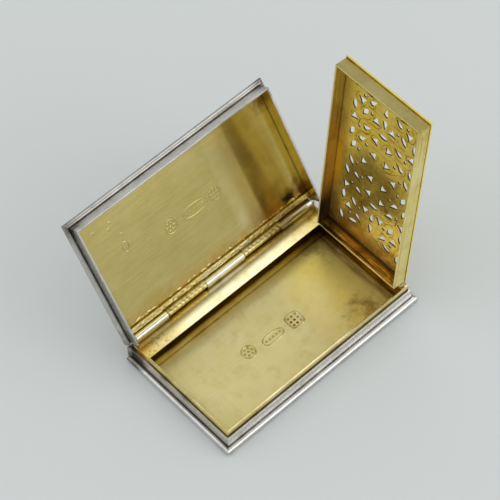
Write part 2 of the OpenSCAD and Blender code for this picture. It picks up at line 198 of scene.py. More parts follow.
# Finish: roughness, run of the polishing lines, depth of the surface, strength of the stain in broad
# hollows and of the dirt in tight ones, share of metal, height of lumps and gloss
Finish = namedtuple("Finish", "rough grain depth broad tight metallic lumps gloss", defaults=(0.0, 0.5))
ALONG_X = (250.0, 4000.0, 4000.0)
ALONG_Y = (4000.0, 250.0, 4000.0)
GILT_FINISH = Finish(0.22, ALONG_X, 0.0006 * MM, 0.55, 0.85, 1.0)
LID_FINISH = Finish(0.15, ALONG_X, 0.0003 * MM, 0.0, 0.5, 0.9)
FLOOR_FINISH = Finish(0.36, ALONG_X, 0.0004 * MM, 0.0, 0.85, 0.5)
LEDGE_FINISH = GILT_FINISH._replace(broad=0.0, depth=0.0014 * MM)
STRIP_FINISH = GILT_FINISH._replace(lumps=130.0)
KNUCKLE_FINISH = GILT_FINISH._replace(lumps=50.0)
SOLDER_FINISH = GILT_FINISH._replace(broad=0.3, tight=0.6)
PIERCED_FINISH = GILT_FINISH._replace(broad=0.2, metallic=0.6)
FLANGE_FINISH = GILT_FINISH._replace(broad=0.3)
SILVER_FINISH = Finish(0.22, ALONG_X, 0.0010 * MM, 0.35, 0.85, 1.0)
SILVER_SIDE_FINISH = SILVER_FINISH._replace(grain=ALONG_Y)
TUBE_FINISH = SILVER_FINISH._replace(rough=0.16)
PUNCH_FINISH = Finish(0.2, ALONG_X, 0.0003 * MM, 0.0, 0.9, 1.0)
ENGRAVED_FINISH = Finish(0.6, ALONG_X, 0.0004 * MM, 0.0, 0.5, 0.0, 0.0, 0.1)

# Painted reflection over the upper half of each hinge tube on the ledge, dark on the right one
TUBE_UPPER_REFLECTIONS = {"left": CREAM, "middle": KNUCKLE_GILT, "right": BROWN}

# Plain border of the pierced plate, and the width over which it fades, in mm
PIERCED_BORDER = 1.4
BORDER_FADE = 0.1

# Detail of the small raised marks
DOME_RINGS = 4
DOME_SIDES = 12
RIM_SIDES = 40
RIM_SECTION = ((0.0, 0.0), (0.3, 1.0), (0.7, 1.0), (1.0, 0.0))
STROKE_TIP = 0.25

# Blank punches, in mm: place, half sizes, squareness of the outline, and plain dots as shares of the
# half sizes
Punch = namedtuple("Punch", "x y radius_x radius_y squareness dots")
ROUND, OVAL, SQUARE = 2.0, 2.6, 4.0
SIXTHS = [math.tau * i / 6 for i in range(6)]
RING_DOTS = [(0.0, 0.0)] + [(0.55 * math.cos(a), 0.55 * math.sin(a)) for a in SIXTHS]
ROW_DOTS = [(u, 0.0) for u in (-0.66, -0.33, 0.0, 0.33, 0.66)]
GRID_DOTS = [(u * 0.52, v * 0.52) for u in (-1, 0, 1) for v in (-1, 0, 1)]
FLOOR_PUNCHES = (Punch(-5.6, -0.5, 1.25, 1.25, ROUND, RING_DOTS),
                 Punch(-1.0, -1.1, 2.1, 0.95, OVAL, ROW_DOTS),
                 Punch(3.5, -1.1, 1.4, 1.4, SQUARE, GRID_DOTS))
LID_PUNCHES = (Punch(-4.4, -0.4, 1.25, 1.25, ROUND, RING_DOTS),
               Punch(0.5, -0.4, 2.5, 1.0, OVAL, ROW_DOTS),
               Punch(4.6, -0.4, 1.25, 1.25, ROUND, GRID_DOTS))
WORN_PUNCH = Punch(-12.4, -2.4, 0.7, 0.95, ROUND, [])
FLOOR_PUNCH_HEIGHT = 0.08
LID_PUNCH_HEIGHT = 0.05
WORN_PUNCH_HEIGHT = 0.03
PUNCH_RIM = 0.23
PUNCH_DOT = 0.22
DOT_RISE = 1.3
DENTS = ((-13.6, -6.5), (-12.0, -4.6), (-16.2, -7.6), (-13.0, -7.4))
DENT_SIZE = (0.30, 0.22, 0.012)

# Specks of solder, in mm: each row reaches over a stretch of Y from the front of the hinge strip and
# has a largest speck; the pairs are the ends of random draws
SOLDER_SEED = 7
SOLDER_INSET = 1.0
FOOT_ROW = (-0.35, -0.05, 0.24)
STRIP_ROW = (0.25, 0.60, 0.26)
SPECK_SHARE = (0.15, 1.0)
SPECK_SKEW = 1.5
SPECK_STRETCH = (1.4, 3.4)
SPECK_TURN = (-0.5, 0.5)
SPECK_STEP = (0.1, 1.0)
SPECK_FLATNESS = 0.22

# Engraving between the holes of one quarter of the grille, in mm from the middle of the pattern: stems
# as start, pull and end, scrolls as place, radius and first angle. A line is kept where there is metal
# all round it, as far as METAL_REACH, in runs of at least SHORTEST_RUN points.
PATTERN_MIDDLE = (-0.7, -1.8)
QUARTERS = ((1, 1), (-1, 1), (1, -1), (-1, -1))
STEMS = (((1.1, 0.2), (1.3, 2.6), (2.9, 3.9)), ((2.9, 3.9), (3.2, 4.6), (3.1, 5.4)),
         ((4.25, 0.2), (4.1, 1.6), (4.55, 2.4)), ((6.4, 2.7), (5.8, 3.5), (5.5, 5.2)),
         ((8.6, 0.9), (8.5, 3.0), (8.7, 4.9)), ((11.5, 1.0), (12.1, 2.2), (11.6, 3.9)),
         ((13.6, 5.3), (14.6, 5.6), (15.6, 4.9)), ((0.2, 1.2), (0.9, 2.0), (0.7, 4.8)),
         ((14.4, 0.5), (14.9, 1.6), (14.1, 2.4)), ((5.2, 5.4), (6.2, 6.2), (6.5, 6.9)))
SCROLLS = ((4.1, 4.3, 1.5, 200), (7.0, 3.6, 1.6, 20), (10.2, 4.0, 1.5, 150), (12.8, 2.95, 1.5, 300),
           (2.6, 1.4, 1.35, 60), (5.9, 1.4, 1.35, 240), (9.9, 1.65, 1.4, 90), (12.1, 4.9, 1.4, 10),
           (7.65, 6.0, 1.3, 180), (14.5, 3.7, 1.4, 120))
SCROLL_TURNS = 1.1
SCROLL_CLOSING = 0.6
ENGRAVED_WIDTH = 0.12
ENGRAVED_HEIGHT = 0.02
METAL_REACH = 0.12
METAL_PROBE = 0.05 * MM
SHORTEST_RUN = 5


def direction(azimuth, elevation):
    """Unit vector towards a place round the object; azimuth 0 is towards -Y."""
    a, e = math.radians(azimuth), math.radians(elevation)
    return Vector((math.sin(a) * math.cos(e), -math.cos(a) * math.cos(e), math.sin(e)))


def joint_of(body):
    """Place, axis and opening angle of the joint that a body turns on, or None for the base."""
    for joint in frame["joints"]:
        if joint["child"] == body:
            return Vector(joint["pos_m"]), Vector(joint["axis"]), math.radians(OPENED[body])
    return None


def opening(body):
    """Turns a place on the closed box to where it is at rest."""
    if joint_of(body) is None:
        return Matrix.Identity(4)
    place, axis, angle = joint_of(body)
    return Matrix.Translation(place) @ Matrix.Rotation(angle, 4, axis) @ Matrix.Translation(-place)


def closed_box(node):
    """Lowest and highest corner of a node as it lies on the closed box."""
    shut = opening(frame["nodes"][node]["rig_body"]).inverted()
    points = [shut @ v.co for v in frame["nodes"][node].data.vertices]
    low = Vector(min(p[i] for p in points) for i in range(3))
    high = Vector(max(p[i] for p in points) for i in range(3))
    return low, high


def make_camera():
    """Camera of the photograph."""
    back = direction(CAMERA_AZIMUTH, CAMERA_ELEVATION)
    right = Vector((0, 0, 1)).cross(back).normalized()
    up = back.cross(right)
    roll = math.radians(CAMERA_ROLL)
    tilted_right = right * math.cos(roll) + up * math.sin(roll)
    tilted_up = up * math.cos(roll) - right * math.sin(roll)
    data = bpy.data.cameras.new("camera")
    data.sensor_width = SENSOR_MM
    data.lens = FOCAL_PX / IMAGE_PX * SENSOR_MM
    data.clip_start = 1 * MM
    camera = bpy.data.objects.new("camera", data)
    turn = Matrix((tilted_right, tilted_up, back)).transposed().to_4x4()
    camera.matrix_world = Matrix.Translation(CAMERA_TARGET + back * CAMERA_DISTANCE) @ turn
    bpy.context.collection.objects.link(camera)
    bpy.context.scene.camera = camera


class Shader:
    """Adds nodes to one node tree and links them."""

    def __init__(self, tree):
        self.tree = tree
        tree.nodes.clear()

    def add(self, kind, inputs=(), **settings):
        node = self.tree.nodes.new("ShaderNode" + kind)
        for key, value in settings.items():
            setattr(node, key, value)
        for key, value in dict(inputs).items():
            self.set(node.inputs[key], value)
        return node

    def set(self, socket, value):
        if isinstance(value, bpy.types.NodeSocket):
            self.tree.links.new(value, socket)
        elif socket.type == "RGBA":
            socket.default_value = (*value, 1)
        else:
            socket.default_value = value

    def math(self, operation, a, b=0.0, clamp=False):
        node = self.add("Math", operation=operation, use_clamp=clamp)
        self.set(node.inputs[0], a)
        self.set(node.inputs[1], b)
        return node.outputs[0]

    def vector(self, operation, a, b):
        node = self.add("VectorMath", operation=operation)
        self.set(node.inputs[0], a)
        self.set(node.inputs[1], b)
        return node

    def times(self, *values):
        product = values[0]
        for value in values[1:]:
            product = self.math("MULTIPLY", product, value)
        return product

    def mix(self, factor, a, b):
        node = self.add("Mix", data_type="RGBA")
        self.set(node.inputs[0], factor)
        self.set(node.inputs[6], a)
        self.set(node.inputs[7], b)
        return node.outputs[2]

    def span(self, value, low, high, to_low=0.0, to_high=1.0):
        """Maps value from low..high to to_low..to_high, clamped."""
        node = self.add("MapRange", {"Value": value, "From Min": low, "From Max": high,
                                     "To Min": to_low, "To Max": to_high})
        return node.outputs[0]

    def noise(self, vector, scale, detail=3.0, roughness=0.55):
        node = self.add("TexNoise", {"Vector": vector, "Scale": scale, "Detail": detail,
                                     "Roughness": roughness})
        return node.outputs["Fac"]

    def drawn_noise(self, run):
        """Noise drawn out along an axis; run gives its scale along each axis."""
        drawn = self.vector("MULTIPLY", self.place, run).outputs[0]
        return self.noise(drawn, 1.0, detail=4.0, roughness=0.6)

    def axis(self, vector, letter):
        return self.add("SeparateXYZ", {"Vector": vector}).outputs[letter]

    def closed(self, body):
        """Sets place and normal on the closed box, with the noises that every layer shares."""
        coords = self.add("TexCoord")
        self.place, self.normal = coords.outputs["Object"], coords.outputs["Normal"]
        if joint_of(body):
            centre, axis, angle = joint_of(body)
            self.place = self.turned(self.place, centre, axis, -angle)
            self.normal = self.turned(self.normal, (0, 0, 0), axis, -angle)
        self.cloud = self.noise(self.place, CLOUD_SCALE, detail=4.0)
        self.patch = self.noise(self.place, PATCH_SCALE, detail=5.0, roughness=0.65)

    def turned(self, vector, centre, axis, angle):
        inputs = {"Vector": vector, "Center": centre, "Axis": axis, "Angle": angle}
        return self.add("VectorRotate", inputs, rotation_type="AXIS_ANGLE").outputs[0]

    def toned(self, paint):
        """Colour of a tone, clouded towards its pale and deep ends; a plain colour stays plain."""
        if not isinstance(paint, Tone):
            return paint
        colour = self.mix(self.span(self.cloud, *PALE_LEVELS), paint.base, paint.pale)
        return self.mix(self.span(self.patch, *DEEP_LEVELS), colour, paint.deep)

    def hollow(self, reach, levels):
        """1 deep in a corner or crevice, 0 in the open."""
        open_sky = self.add("AmbientOcclusion", {"Distance": reach}, samples=OCCLUSION_SAMPLES,
                            only_local=False)
        return self.span(open_sky.outputs["AO"], *levels)

    def finish(self, surface):
        out = self.add("OutputMaterial")
        self.tree.links.new(surface, out.inputs["Surface"])


# Masks. Each is a function of a Shader that gives a socket from 0 to 1.


def facing(way, low=0.5, high=0.8):
    """Mask of the faces that look one way on the closed box."""
    def mask(s):
        return s.span(s.vector("DOT_PRODUCT", s.normal, Vector(way)).outputs["Value"], low, high)
    return mask


def ramp(letter, low, high):
    """Mask that rises from 0 to 1 between two places in mm along an axis of the closed box."""
    def mask(s):
        return s.span(s.axis(s.place, letter), low * MM, high * MM)
    return mask


def fall(letter, low, high):
    """Mask that falls from 1 to 0 between two places in mm along an axis of the closed box."""
    return inverse(ramp(letter, low, high))


def band(letter, low, full, fading, high):
    """Mask of a stretch along an axis, full between its two middle places."""
    return both(ramp(letter, low, full), fall(letter, fading, high))


def spot(centre, radius, soft=0.5, ragged=0.4):
    """Ragged blotch round a place in mm; soft and ragged are shares of its radius."""
    def mask(s):
        away = s.vector("DISTANCE", s.place, Vector(centre) * MM).outputs["Value"]
        waver = ragged * radius * MM
        away = s.math("ADD", away, s.span(s.patch, *PATCH_LEVELS, -waver, waver))
        return s.span(away, radius * MM, radius * (1 - soft) * MM)
    return mask


def patchy(low=0.3, high=0.6, least=0.0, most=1.0, scale=300.0):
    """Mottled mask from least to most, as a noise goes from low to high."""
    def mask(s):
        return s.span(s.noise(s.place, scale, detail=5.0, roughness=0.6), low, high, least, most)
    return mask


def streaks(run, low, high):
    """Mottled mask drawn out along one axis."""
    def mask(s):
        return s.span(s.drawn_noise(run), low, high)
    return mask


def filed(way, pitch, low, high, waver=9.0):
    """Mask of wavering file marks, spaced by a pitch in mm along a way on the closed box."""
    def mask(s):
        along = s.vector("DOT_PRODUCT", s.place, Vector(way)).outputs["Value"]
        phase = s.math("MULTIPLY", along, math.tau / (pitch * MM))
        phase = s.math("ADD", phase, s.math("MULTIPLY", s.patch, waver))
        return s.span(s.math("SINE", phase), low, high)
    return mask


def both(*masks):
    """Mask where all the given masks overlap."""
    def mask(s):
        return s.times(*[m(s) for m in masks])
    return mask


def inverse(m):
    """Mask of what another leaves out."""
    def mask(s):
        return s.math("SUBTRACT", 1.0, m(s))
    return mask


def new_material(name):
    material = bpy.data.materials.new(name)
    material.use_nodes = True
    return material, Shader(material.node_tree)


def soiled(s, colour, finish, stain, dirt):
    """Stains the broad hollows and dirties the tight corners."""
    if finish.broad:
        grimy = s.times(s.hollow(STAIN_REACH, STAIN_HOLLOW), s.span(s.patch, *STAIN_PATCH), finish.broad)
        colour = s.mix(grimy, colour, stain)
    crevice = s.times(s.hollow(DIRT_REACH, DIRT_HOLLOW), s.span(s.patch, *DIRT_PATCH), finish.tight)
    return s.mix(crevice, colour, dirt)


def lined(s, colour, lines):
    """Lightens and darkens a colour slightly along the polishing lines."""
    worn = s.span(lines, *LINE_LEVELS)
    grey = s.add("CombineXYZ", {"X": worn, "Y": worn, "Z": worn}).outputs[0]
    return s.vector("MULTIPLY", colour, grey).outputs[0]


def bumped(s, finish, lines):
    """Normal of a surface that waves gently, with polishing lines and, where asked, lumps."""
    wave = s.noise(s.place, WAVE_SCALE, detail=1.0)
    height = s.math("ADD", s.math("MULTIPLY", wave, WAVE_HEIGHT), lines)
    if finish.lumps:
        lumps = s.noise(s.place, LUMP_SCALE, detail=2.0, roughness=0.5)
        height = s.math("ADD", height, s.math("MULTIPLY", lumps, finish.lumps))
    bump = s.add("Bump", {"Height": height, "Strength": 1.0, "Distance": finish.depth})
    return bump.outputs["Normal"]


def metal(name, body, tone, finish, layers=(), stain=GILT_STAIN, dirt=GILT_DIRT):
    """Worn polished metal. Each layer is a mask and the paint that it lays on."""
    material, s = new_material(name)
    s.closed(body)
    lines = s.drawn_noise(finish.grain)
    colour = s.toned(tone)
    for mask, paint in layers:
        colour = s.mix(mask(s), colour, s.toned(paint))
    colour = lined(s, soiled(s, colour, finish, stain, dirt), lines)
    smoothest, roughest = (finish.rough * share for share in ROUGH_SHARES)
    rough = s.span(s.math("ADD", s.patch, lines), *ROUGH_LEVELS, smoothest, roughest)
    glancing = s.mix(GLANCING_SHARE, colour, tone.pale)
    shader = s.add("BsdfPrincipled", {"Base Color": colour, "Metallic": finish.metallic, "Roughness": rough,
                                      "Specular IOR Level": finish.gloss, "Specular Tint": glancing,
                                      "Normal": bumped(s, finish, lines)})
    s.finish(shader.outputs[0])
    return material


def silver(name, body, finish=SILVER_FINISH, layers=(), tone=SILVER):
    """Metal with the soil of silver."""
    return metal(name, body, tone, finish, layers, SILVER_STAIN, SILVER_DIRT)


def make_world():
    """Pale even light. What is seen or mirrored is a pale sky, darker high up in front of the lid."""
    world = bpy.data.worlds.new("studio")
    bpy.context.scene.world = world
    world.use_nodes = True
    s = Shader(world.node_tree)
    towards = s.add("TexCoord").outputs["Generated"]
    height = s.axis(towards, "Z")
    pale = s.mix(s.span(height, *SKY_RISE), SKY_HORIZON, SKY_TOP)
    in_front = s.span(s.axis(towards, "Y"), *SKY_FRONT_SIDE)
    pale = s.mix(s.times(in_front, s.span(height, *SKY_FRONT_RISE)), pale, SKY_FRONT)
    path = s.add("LightPath")
    seen = s.math("ADD", path.outputs["Is Camera Ray"], path.outputs["Is Glossy Ray"])
    seen = s.math("ADD", seen, path.outputs["Is Transmission Ray"], clamp=True)
    light = s.add("Background", {"Color": (1, 1, 1), "Strength": WORLD_LIGHT})
    shown = s.add("Background", {"Color": pale, "Strength": 1.0})
    mixed = s.add("MixShader", {0: seen, 1: light.outputs[0], 2: shown.outputs[0]})
    out = s.add("OutputWorld")
    s.tree.links.new(mixed.outputs[0], out.inputs["Surface"])


def make_lamp(lamp):
    """Square soft box that points at the object."""
    data = bpy.data.lights.new(lamp.name, "AREA")
    data.shape = "SQUARE"
    data.size = lamp.size
    data.energy = lamp.radiance * math.pi * lamp.size * lamp.size
    box = bpy.data.objects.new(lamp.name, data)
    back = direction(lamp.azimuth, lamp.elevation)
    box.location = CAMERA_TARGET + back * LAMP_DISTANCE
    box.rotation_euler = back.to_track_quat("Z", "Y").to_euler()
    box.visible_camera = False
    bpy.context.collection.objects.link(box)


def make_floor():
    """Pale ground under the object, faintly mottled."""
    half = FLOOR_SIZE / 2
    level = cad_box[0].z - FLOOR_GAP
    mesh = bpy.data.meshes.new("floor")
    corners = [(-half, -half, level), (half, -half, level), (half, half, level), (-half, half, level)]
    mesh.from_pydata(corners, [], [(0, 1, 2, 3)])
    floor = bpy.data.objects.new("floor", mesh)
    bpy.context.collection.objects.link(floor)
    material, s = new_material("floor_paper")
    place = s.add("TexCoord").outputs["Object"]
    mottling = s.span(s.noise(place, FLOOR_NOISE_SCALE), *FLOOR_MOTTLING)
    colour = s.mix(mottling, FLOOR_ALBEDO, FLOOR_GREY)
    diffuse = s.add("BsdfDiffuse", {"Color": colour})
    s.finish(diffuse.outputs[0])
    mesh.materials.append(material)


def floor_gilt():
    """Floor of the well: painted light towards the grille, darker along the walls and in the far corner,
    with a stain near the front.
    """
    top = facing(UP)
    # Painted light towards the grille, in the lit gold.
    by_grille = (both(top, ramp("X", 4.0, 12.0)), LIT_GILT)
    by_ledge = (both(top, ramp("Y", 6.2, 7.2), patchy(least=0.4, most=0.9)), DEEP_GILT)
    far_corner = (both(top, spot((17.4, 7.2, FLOOR_Z), 4.5, soft=0.9), patchy(0.3, 0.5, least=0.4)), BROWN)
    by_left = (both(top, fall("X", -18.8, -16.6), patchy(least=0.4, most=0.9)), DEEP_GILT)
    by_front = (both(top, fall("Y", -10.4, -9.2), patchy(0.35, 0.6, least=0.2, most=0.9)), DEEP_GILT)
    stain = (both(spot((12.6, -7.2, FLOOR_Z), 3.8, soft=0.7),
                  patchy(0.32, 0.60, least=0.1, most=0.85, scale=600.0)), GILT_STAIN)
    by_rail = (both(top, ramp("X", 15.4, 17.2), streaks((900.0, 90.0, 900.0), 0.35, 0.6)), BROWN)
    outside = (inverse(top), SILVER)
    marks = [by_grille, by_ledge, far_corner, by_left, by_front, stain, by_rail, outside]
    return metal("floor_gilt", "base", FLOOR_GILT, FLOOR_FINISH, marks)


def ledge_gilt():
    """Ledge before the lid's hinge: a painted highlight on top, brown at its ends, painted shade on its
    front wall.
    """
    top, front = facing(UP), facing(FRONT)
    blotches = patchy(least=0.5)
    # Painted shade on the front wall: darker up towards the ledge's edge and towards its right end, black
    # just under the edge.
    wall = (both(front, ramp("Z", 1.3, 2.6), blotches), BROWN)
    wall_end = (both(front, ramp("X", 8.0, 16.0), blotches), BROWN)
    under_edge = (both(front, ramp("Z", 2.3, 3.0)), SOOT_AND_SHADE)
    # Painted highlight on top of the ledge.
    painted_sheen = (both(top, fall("Y", 8.9, 9.7), band("X", -17.0, -11.0, 8.0, 15.0)), CREAM)
    left_end = (both(top, fall("X", -17.0, -10.0), patchy(least=0.6)), DEEP_GILT)
    pits = (both(top, fall("X", -16.5, -12.5), patchy(0.54, 0.64, most=0.7, scale=2600.0)), BROWN)
    right_end = (both(top, ramp("X", 10.0, 16.0), patchy(least=0.3, most=0.8)), DEEP_GILT)
    left_corner = (both(spot((-18.6, 9.6, LEDGE_Z), 2.6, soft=0.8), patchy(0.42, 0.6)), ORANGE)
    right_corner = (both(spot((18.6, 9.4, LEDGE_Z), 2.6, soft=0.8), patchy(0.42, 0.6)), BROWN)
    # Painted shade on the ledge beside the hinge tubes.
    under_tubes = (both(ramp("Y", 10.0, 10.4), top), KNUCKLE_GILT)
    marks = [wall, wall_end, under_edge, painted_sheen, left_end, pits, right_end, left_corner, right_corner,
             under_tubes]
    return metal("ledge_gilt", "base", EDGE_GILT, LEDGE_FINISH, marks)


def bezel_gilt(side, way, wear, worn_tone):
    """Thin strip inside the rim: worn along its edge, with painted shade on its outer face where the lid
    covers it.
    """
    rim = (both(facing(UP), wear), worn_tone)
    # Painted shade on the outer face below the top.
    shaded_outer_face = (both(facing(way), fall("Z", 3.6, 3.85)), DUSK)
    return metal(f"bezel_{side}_gilt", "base", EDGE_GILT, GILT_FINISH, [rim, shaded_outer_face])


def rail_gilt():
    """Rail under the grille's hinge, with soot and brown wear in streaks."""
    inner = facing(LEFT)
    soot = (both(inner, streaks((2000.0, 150.0, 1500.0), 0.30, 0.52)), SOOT_AND_SHADE)
    worn_top = (both(facing(UP), streaks((900.0, 120.0, 900.0), 0.35, 0.5)), BROWN)
    return metal("rail_gilt", "base", EDGE_GILT, GILT_FINISH, [(inner, ORANGE), soot, worn_top])


def tube_silver(place):
    """Hinge tube on the ledge, with a painted reflection over its upper half and painted shade along its
    foot.
    """
    # Painted reflection over the tube's upper half.
    upper = (facing(TUBE_UPPER, low=0.0, high=0.25), TUBE_UPPER_REFLECTIONS[place])
    # Painted shade along the tube's foot.
    foot = (both(fall("Z", 4.85, 5.05), patchy(0.3, 0.5, least=0.6)), DEEP_GILT)
    return silver(f"tube_{place}_silver", "base", TUBE_FINISH, [upper, foot])


def base_silver(side):
    """Edge moulding of the base, tarnished at the hinge's corners; left and right also in groove and rim."""
    corners = [(both(spot((-19.6, 11.3, 2.4), 4.2), patchy(0.3, 0.5, least=0.6)), TARNISH),
               (spot((19.6, 11.3, 2.6), 2.0), TARNISH)]
    if side in ("front", "back"):
        return silver(f"base_{side}_silver", "base", SILVER_FINISH, corners)
    groove = (band("Z", 1.0, 1.12, 1.25, 1.4), TARNISH)
    rim = (both(ramp("Z", 2.9, 3.25), patchy(0.35, 0.6, least=0.1, most=0.8)), TARNISH)
    return silver(f"base_{side}_silver", "base", SILVER_SIDE_FINISH, [groove, rim, *corners])


def base_materials():
    """Materials of the nodes of the base."""
    materials = {
        "base_plate": floor_gilt(),
        "hinge_ledge": ledge_gilt(),
        "bezel_front": bezel_gilt("front", FRONT, patchy(0.38, 0.6, most=0.9), KNUCKLE_GILT),
        "bezel_left": bezel_gilt("left", LEFT, patchy(0.3, 0.55, least=0.4), END_GILT),
        "grille_hinge_rail": rail_gilt(),
        "lid_hinge_pin": silver("pin_silver", "base"),
        "grille_hinge_pin": metal("grille_pin_gilt", "base", EDGE_GILT, GILT_FINISH),
    }
    for side in ("front", "back", "left", "right"):
        materials[f"base_{side}_moulding"] = base_silver(side)
    for place in TUBE_UPPER_REFLECTIONS:
        materials[f"lid_hinge_base_knuckle_{place}"] = tube_silver(place)
    for place in ("front", "rear"):
        gilt = metal(f"rail_knuckle_{place}_gilt", "base", EDGE_GILT, GILT_FINISH)
        materials[f"grille_hinge_base_knuckle_{place}"] = gilt
    return materials


def lid_gilt():
    """Inside of the lid: a pale painted reflection beside a dark painted reflection of the grille, deeper
    gold past it, a painted glow at the hinge.
    """
    # Pale painted reflection across the lid.
    painted_sheen = (band("X", 5.6, 8.0, 10.2, 10.7), PAINTED_REFLECTION_GILT)
    right_third = (ramp("X", 10.8, 12.2), DEEP_GILT)
    by_wall = (both(ramp("X", 16.9, 17.8), patchy(least=0.5)), LID_GILT)
    # Dark painted reflection of the grille in the lid.
    painted_grille_reflection = (both(band("X", 10.4, 11.0, 11.6, 13.4), ramp("Y", -7.0, 5.0),
                       patchy(0.3, 0.55, least=0.35, most=0.95, scale=700.0)), GRILLE_REFLECTION_DARK)
    hinge_glow = (both(ramp("Y", 6.5, 9.6), patchy(0.35, 0.6, least=0.35, most=0.9)), ORANGE)
    blotches = patchy(0.3, 0.5, least=0.4, scale=500.0)
    corner_stains = [(both(spot((18.4, 8.6, LID_Z), 3.0, soft=0.8), blotches), BROWN),
                     (both(spot((15.6, 8.3, LID_Z), 1.8, soft=0.7), patchy(0.35, 0.5)), SOOT_AND_SHADE),
                     (both(spot((18.4, -8.6, LID_Z), 2.6, soft=0.9), blotches), BROWN),
                     (both(spot((-18.5, 9.2, LID_Z), 1.6, soft=0.9), patchy(0.4, 0.55)), BROWN)]
    outside = (facing(UP), SILVER)
    marks = [painted_sheen, right_third, by_wall, painted_grille_reflection, hinge_glow, *corner_stains, outside]
    return metal("lid_gilt", "lid", LID_GILT, LID_FINISH, marks)


def lid_silver(side, inward, inner_tone):
    """Edge moulding of the lid: dull silver with a bright band, tarnished corners and a gilt inside."""
    bright_band = (both(facing(FRONT), fall("Z", 5.25, 5.35)), SILVER)
    tarnish = [(both(spot((x, y, 5.0), 3.0, soft=0.9), patchy(0.35, 0.55)), TARNISH)
               for x, y in ((-19.6, -11.3), (-19.6, 11.0), (19.6, -11.3))]
    gilt_face = (both(facing(inward), fall("Z", 6.2, 6.3)), inner_tone)
    finish = SILVER_FINISH if side == "front" else SILVER_SIDE_FINISH
    return silver(f"lid_{side}_silver", "lid", finish, [bright_band, *tarnish, gilt_face], LID_SILVER)


def lid_knuckle_gilt(place):
    """Hinge tube of the lid, with a painted highlight on its front and slanting file marks."""
    # Painted highlight on the front facet.
    edge = (facing(FRONT, low=0.4, high=0.7), EDGE_GILT)
    filing = (both(filed(FILING_WAY, pitch=0.36, low=0.0, high=0.9),
                   patchy(0.35, 0.6, least=0.1, most=0.8, scale=700.0)), BROWN)
    return metal(f"lid_knuckle_{place}_gilt", "lid", KNUCKLE_GILT, KNUCKLE_FINISH, [edge, filing])


def lid_materials():
    """Materials of the nodes of the lid: silver outside, gilt inside."""
    strip_face = (both(facing(DOWN), patchy(0.4, 0.6)), EDGE_GILT)
    materials = {
        "lid_plate": lid_gilt(),
        "lid_back_edge": silver("lid_back_silver", "lid", tone=LID_SILVER),
        "lid_hinge_strip": metal("strip_gilt", "lid", STRIP_GILT, STRIP_FINISH, [strip_face]),
        "lid_front_moulding": lid_silver("front", BACK, LID_GILT),
        "lid_left_moulding": lid_silver("left", RIGHT, LID_GILT),
        # The right moulding's inner face takes the lit gold: painted light.
        "lid_right_moulding": lid_silver("right", LEFT, LIT_GILT),
    }
    for place in ("left", "right"):
        materials[f"lid_hinge_lid_knuckle_{place}"] = lid_knuckle_gilt(place)
    return materials


def pierced_field():
    """Mask of the plate inside its plain border."""
    low, high = (corner / MM for corner in closed_box("grille_plate"))
    left, right = low.x + PIERCED_BORDER, high.x - PIERCED_BORDER
    front, rear = low.y + PIERCED_BORDER, high.y - PIERCED_BORDER
    return both(band("X", left, left + BORDER_FADE, right - BORDER_FADE, right),
                band("Y", front, front + BORDER_FADE, rear - BORDER_FADE, rear))


def grille_gilt():
    """Pierced plate: painted shade in the holes and towards the rear flange, its inner face shaded in the
    middle, browner at the hinge, with a painted glow by the rear flange and a painted highlight near the
    front.
    """
    over, under = facing(UP, high=0.9), facing(DOWN, high=0.9)
    field = pierced_field()
    outer = (both(over, patchy(least=0.5, scale=160.0)), KNUCKLE_GILT)
    mottling = (both(under, field, patchy(0.5, 0.62, most=0.45, scale=1100.0)), DEEP_GILT)
    shaded = (both(under, spot((4.6, -1.0, GRILLE_Z), 9.5, ragged=0.15), patchy(least=0.7)), SHADED_GILT)
    # Painted shade towards the rear flange.
    by_rear = (both(under, ramp("Y", 4.6, 6.8), patchy(least=0.3, most=0.9)), DEEP_GILT)
    rear_glow = (both(under, ramp("Y", 5.2, 6.0),
                      spot((3.0, 6.6, GRILLE_Z), 6.5, soft=0.6, ragged=0.2)), GLOW)
    by_hinge = (both(under, ramp("X", 8.0, 14.0), patchy(least=0.7)), RUST_GILT)
    # Painted highlight near the front flange.
    by_front = (both(under, spot((10.4, -5.4, GRILLE_Z), 6.0, soft=0.6),
                     patchy(0.34, 0.5, least=0.5, scale=500.0)), LIT_GILT)
    by_corner = (both(under, spot((16.8, 5.6, GRILLE_Z), 6.0, soft=0.9),
                      patchy(0.3, 0.55, least=0.5)), BROWN)
    # Painted shade on the walls of the holes.
    hole_walls = (both(inverse(over), inverse(under), field), SOOT_AND_SHADE)
    marks = [outer, mottling, shaded, by_rear, rear_glow, by_hinge, by_front, by_corner, hole_walls]
    return metal("grille_gilt", "grille", PIERCED_GILT, PIERCED_FINISH, marks)


